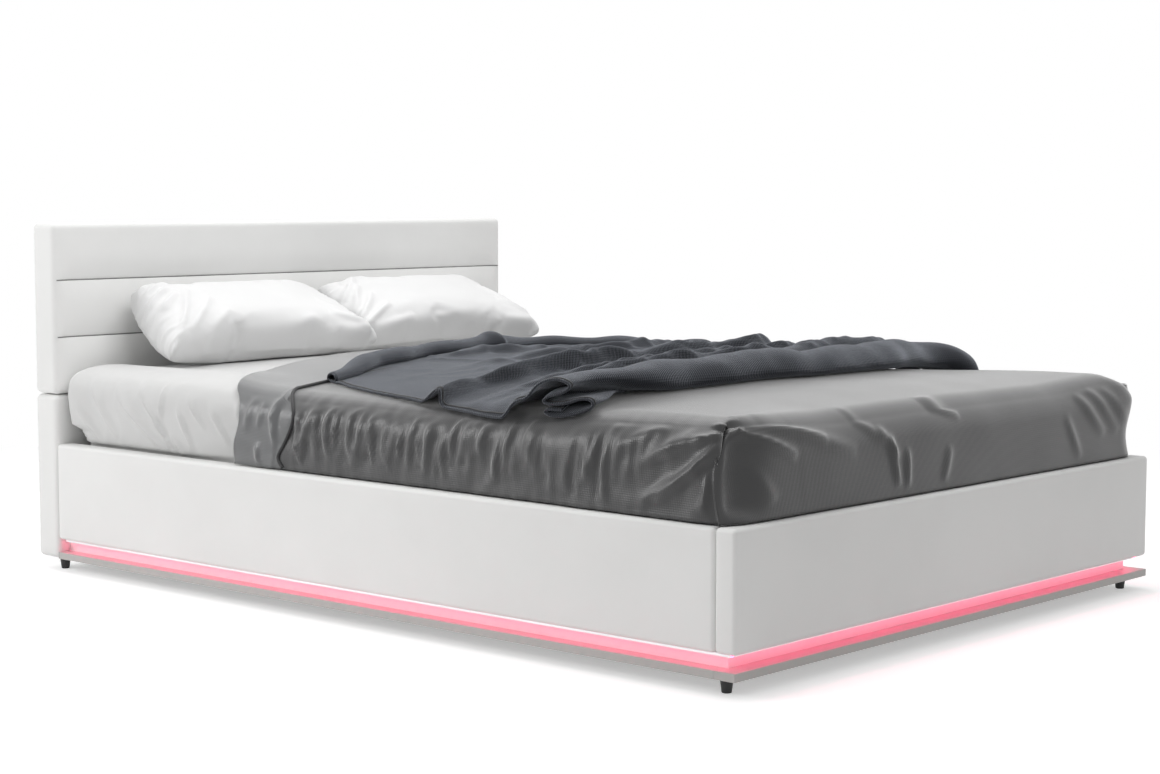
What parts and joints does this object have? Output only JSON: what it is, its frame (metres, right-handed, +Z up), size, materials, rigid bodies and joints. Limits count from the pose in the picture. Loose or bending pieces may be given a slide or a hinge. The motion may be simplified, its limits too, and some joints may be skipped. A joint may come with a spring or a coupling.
{
  "type": "furniture/bed",
  "caption": "Storage bed with padded white leather panels and headboard, a pink-lit recessed plinth, grey bedding and a gas-lift mattress platform",
  "frame": {"origin": "middle of the bed's outline on the floor", "axes": "X across the bed, +Y from the foot end to the headboard, +Z up"},
  "size_m": [1.53, 2.148, 0.835],
  "materials": {
    "leather": "satin",
    "foam": "matte",
    "board": "matte",
    "back_cloth": "matte",
    "zinc_steel": "satin",
    "fastener": "satin",
    "slab_lacquer": "satin",
    "plinth_lacquer": "satin",
    "floor_board": "matte",
    "foot_plastic": "matte",
    "grommet_rubber": "matte",
    "light_aluminium": "satin",
    "light_cover": "matte",
    "driver_plastic": "matte",
    "frame_paint": "satin",
    "lift_paint": "satin",
    "pin_steel": "satin",
    "strut_paint": "gloss",
    "rod_chrome": "polished",
    "slat_birch": "satin",
    "holder_plastic": "matte",
    "strap_webbing": "matte",
    "mattress_ticking": "matte",
    "sheet_cotton": "matte",
    "duvet_satin": "satin",
    "throw_knit": "matte",
    "pillow_satin": "satin"
  },
  "bodies": {
    "frame": {"headboard_upper_cover": "leather", "headboard_lower_cover": "leather", "rail_left_cover": "leather", "rail_right_cover": "leather", "foot_panel_cover": "leather", "headboard_upper_foam": "foam", "headboard_lower_foam": "foam", "rail_left_foam": "foam", "rail_right_foam": "foam", "foot_panel_foam": "foam", "headboard_upper_board": "board", "headboard_lower_board": "board", "rail_left_board": "board", "rail_right_board": "board", "foot_panel_board": "board", "headboard_back_cloths": "back_cloth", "joining_plates": "zinc_steel", "corner_brackets": "zinc_steel", "plinth_plates": "zinc_steel", "lift_base_plates": "zinc_steel", "platform_rests": "zinc_steel", "corner_bolts": "fastener", "panel_screws": "fastener", "slab_foot": "slab_lacquer", "slab_left": "slab_lacquer", "slab_right": "slab_lacquer", "plinth_foot": "plinth_lacquer", "plinth_left": "plinth_lacquer", "plinth_right": "plinth_lacquer", "storage_floor_left": "floor_board", "storage_floor_right": "floor_board", "floor_bearers": "floor_board", "feet": "foot_plastic", "lead_grommet": "grommet_rubber", "light_channels": "light_aluminium", "light_covers": "light_cover", "light_driver": "driver_plastic", "lower_pins": "pin_steel"},
    "rear_arms": {"rear_arms": "lift_paint"},
    "front_arms": {"front_arms": "lift_paint", "slide_pins": "pin_steel"},
    "strut_tubes": {"strut_tubes": "strut_paint"},
    "strut_rods": {"strut_rods": "rod_chrome"},
    "platform": {"side_bar_left": "frame_paint", "side_bar_right": "frame_paint", "foot_bar": "frame_paint", "head_bar": "frame_paint", "low_bars": "frame_paint", "centre_bar": "frame_paint", "slats": "slat_birch", "slat_holders": "holder_plastic", "pull_strap": "strap_webbing", "lift_brackets": "lift_paint", "upper_pins": "pin_steel", "mattress": "mattress_ticking", "fitted_sheet": "sheet_cotton", "duvet": "duvet_satin", "throw": "throw_knit", "pillow_left": "pillow_satin", "pillow_right": "pillow_satin"}
  },
  "joints": [
    {"name": "rear_arm_turn", "type": "hinge", "parent": "frame", "child": "rear_arms", "pos_m": [0, 0.41545, 0.08], "axis": [1, 0, 0], "range_deg": [0, 60]},
    {"name": "platform_tilt", "type": "hinge", "parent": "rear_arms", "child": "platform", "pos_m": [0, 0.666, 0.245], "axis": [-1, 0, 0], "range_deg": [0, 90]},
    {"name": "front_arm_turn", "type": "hinge", "parent": "frame", "child": "front_arms", "pos_m": [0, 0.23545, 0.07], "axis": [1, 0, 0], "range_deg": [0, 53.2]},
    {"name": "strut_swing", "type": "hinge", "parent": "frame", "child": "strut_tubes", "pos_m": [0, 0.56445, 0.07], "axis": [1, 0, 0], "range_deg": [0, 61.9]},
    {"name": "strut_slide", "type": "slide", "parent": "strut_tubes", "child": "strut_rods", "axis": [0, 0.6673, 0.7448], "range_m": [0, 0.0537]}
  ],
  "couplings": [
    {"joint": "rear_arm_turn", "follows": "platform_tilt", "ratio": 0.66666},
    {"joint": "front_arm_turn", "follows": "platform_tilt", "ratio": 0.59},
    {"joint": "strut_swing", "follows": "platform_tilt", "ratio": 0.68679},
    {"joint": "strut_slide", "follows": "platform_tilt", "m_per_rad": 0.03411}
  ]
}
